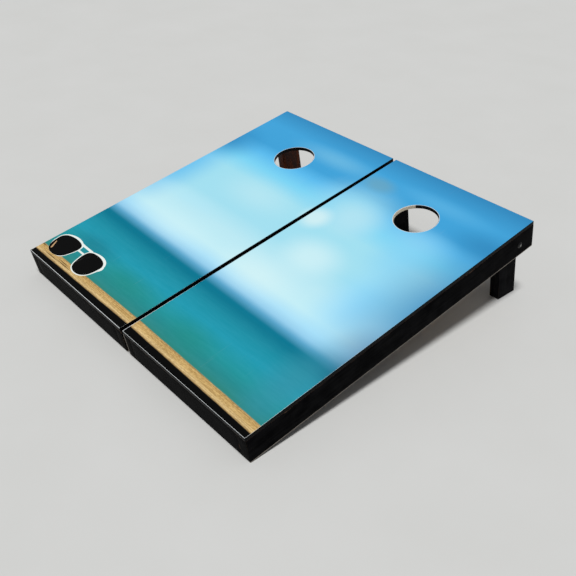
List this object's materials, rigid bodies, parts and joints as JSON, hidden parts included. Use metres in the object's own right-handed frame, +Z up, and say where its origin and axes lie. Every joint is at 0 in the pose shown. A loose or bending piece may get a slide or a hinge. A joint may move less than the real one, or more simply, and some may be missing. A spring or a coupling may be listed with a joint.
{
  "type": "bag toss board pair",
  "caption": "Pair of tilted wooden bag toss boards with round target holes, printed decks, black frames and folding rear legs.",
  "frame": {"origin": "on the ground, in the middle of the pair's bounding box", "axes": "+X across the pair, from the left board to the right; +Y from the low front edges to the raised rear edges; +Z up"},
  "size_m": [1.2436, 1.2275, 0.305],
  "materials": {
    "birch_plywood": "sanded, edges painted black",
    "black_painted_wood": "satin black paint",
    "walnut_stained_wood": "dark stain, matte",
    "left_printed_vinyl": "satin printed vinyl",
    "right_printed_vinyl": "satin printed vinyl",
    "zinc_plated_steel": "bright zinc plate"
  },
  "bodies": {
    "left_board": {"left_deck_panel": "birch_plywood", "left_deck_graphic": "left_printed_vinyl", "left_front_rail": "black_painted_wood", "left_rear_rail": "black_painted_wood", "left_centre_brace": "black_painted_wood", "left_deck_screws": "zinc_plated_steel", "left_pocket_screws": "zinc_plated_steel", "left_outer_rail": "black_painted_wood", "left_outer_carriage_bolt": "zinc_plated_steel", "left_outer_spacer_washer": "zinc_plated_steel", "left_inner_rail": "black_painted_wood", "left_inner_carriage_bolt": "zinc_plated_steel", "left_inner_spacer_washer": "zinc_plated_steel"},
    "left_outer_leg": {"left_outer_leg": "walnut_stained_wood"},
    "left_outer_nut": {"left_outer_flat_washer": "zinc_plated_steel", "left_outer_wing_nut": "zinc_plated_steel"},
    "left_inner_leg": {"left_inner_leg": "walnut_stained_wood"},
    "left_inner_nut": {"left_inner_flat_washer": "zinc_plated_steel", "left_inner_wing_nut": "zinc_plated_steel"},
    "right_board": {"right_deck_panel": "birch_plywood", "right_deck_graphic": "right_printed_vinyl", "right_front_rail": "black_painted_wood", "right_rear_rail": "black_painted_wood", "right_centre_brace": "black_painted_wood", "right_deck_screws": "zinc_plated_steel", "right_pocket_screws": "zinc_plated_steel", "right_outer_rail": "black_painted_wood", "right_outer_carriage_bolt": "zinc_plated_steel", "right_outer_spacer_washer": "zinc_plated_steel", "right_inner_rail": "black_painted_wood", "right_inner_carriage_bolt": "zinc_plated_steel", "right_inner_spacer_washer": "zinc_plated_steel"},
    "right_outer_leg": {"right_outer_leg": "black_painted_wood"},
    "right_outer_nut": {"right_outer_flat_washer": "zinc_plated_steel", "right_outer_wing_nut": "zinc_plated_steel"},
    "right_inner_leg": {"right_inner_leg": "black_painted_wood"},
    "right_inner_nut": {"right_inner_flat_washer": "zinc_plated_steel", "right_inner_wing_nut": "zinc_plated_steel"}
  },
  "joints": [
    {"name": "right_board_slide", "type": "slide", "parent": "left_board", "child": "right_board", "axis": [1, 0, 0], "range_m": [0, 0.5]},
    {"name": "left_outer_leg_fold", "type": "hinge", "parent": "left_board", "child": "left_outer_leg", "pos_m": [-0.55765, 0.53311, 0.23673], "axis": [-1, 0, 0], "range_deg": [0, 90]},
    {"name": "left_outer_nut_turn", "type": "hinge", "parent": "left_board", "child": "left_outer_nut", "pos_m": [-0.5368, 0.53311, 0.23673], "axis": [1, 0, 0], "range_deg": [0, 720]},
    {"name": "left_inner_leg_fold", "type": "hinge", "parent": "left_board", "child": "left_inner_leg", "pos_m": [-0.06595, 0.53311, 0.23673], "axis": [-1, 0, 0], "range_deg": [0, 90]},
    {"name": "left_inner_nut_turn", "type": "hinge", "parent": "left_board", "child": "left_inner_nut", "pos_m": [-0.0868, 0.53311, 0.23673], "axis": [-1, 0, 0], "range_deg": [0, 720]},
    {"name": "right_outer_leg_fold", "type": "hinge", "parent": "right_board", "child": "right_outer_leg", "pos_m": [0.55765, 0.53311, 0.23673], "axis": [-1, 0, 0], "range_deg": [0, 90]},
    {"name": "right_outer_nut_turn", "type": "hinge", "parent": "right_board", "child": "right_outer_nut", "pos_m": [0.5368, 0.53311, 0.23673], "axis": [-1, 0, 0], "range_deg": [0, 720]},
    {"name": "right_inner_leg_fold", "type": "hinge", "parent": "right_board", "child": "right_inner_leg", "pos_m": [0.06595, 0.53311, 0.23673], "axis": [-1, 0, 0], "range_deg": [0, 90]},
    {"name": "right_inner_nut_turn", "type": "hinge", "parent": "right_board", "child": "right_inner_nut", "pos_m": [0.0868, 0.53311, 0.23673], "axis": [1, 0, 0], "range_deg": [0, 720]}
  ]
}
